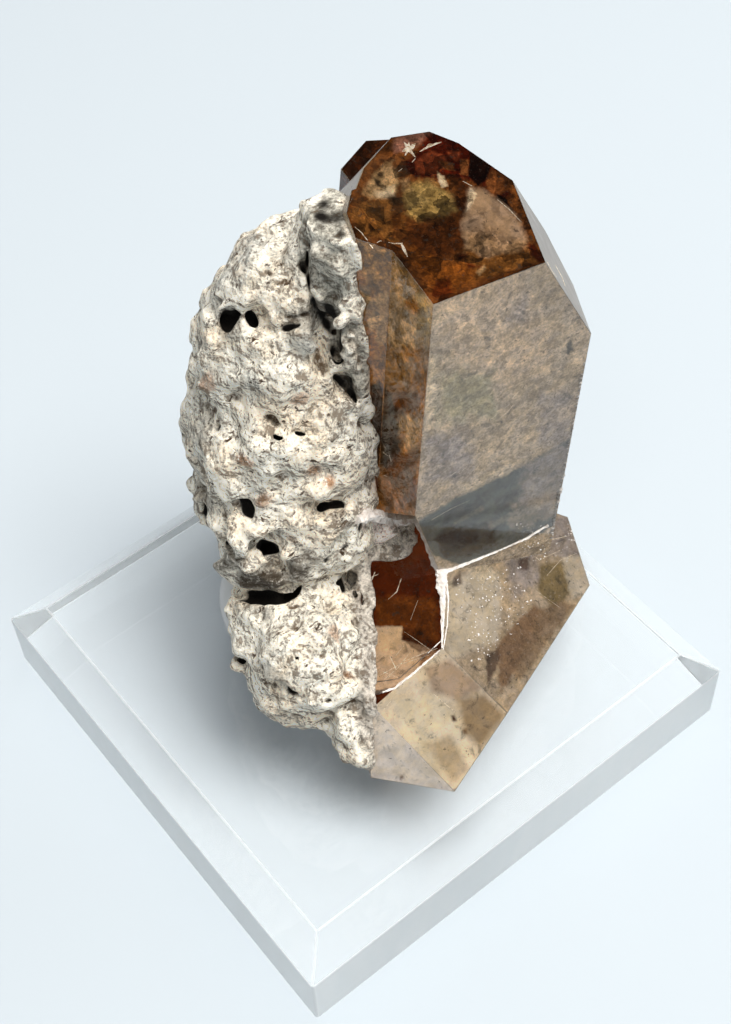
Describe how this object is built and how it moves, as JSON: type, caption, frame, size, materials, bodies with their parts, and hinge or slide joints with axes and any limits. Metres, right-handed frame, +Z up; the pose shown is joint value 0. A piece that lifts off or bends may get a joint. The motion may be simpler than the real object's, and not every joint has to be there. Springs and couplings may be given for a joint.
{
  "type": "topaz crystal specimen on display base",
  "caption": "Sherry-brown topaz crystals intergrown on a lump of pale porous rhyolite, seated in clear putty on a bevelled square acrylic base.",
  "frame": {"origin": "centre of the acrylic base's underside", "axes": "+Z up; X and Y along the base's sides; the specimen's show side looks towards -X -Y, over the base's front corner"},
  "size_m": [0.0508, 0.0508, 0.06],
  "materials": {
    "acrylic": "polished clear acrylic with satin sides",
    "putty": "translucent whitish clear mounting putty",
    "rhyolite": "rough porous cream and grey volcanic rock",
    "topaz": "glassy sherry-brown crystal with frosted prism faces"
  },
  "bodies": {
    "root": {"acrylic_base": "acrylic", "mounting_putty": "putty", "rhyolite_matrix": "rhyolite", "topaz_crystals": "topaz"}
  },
  "joints": []
}
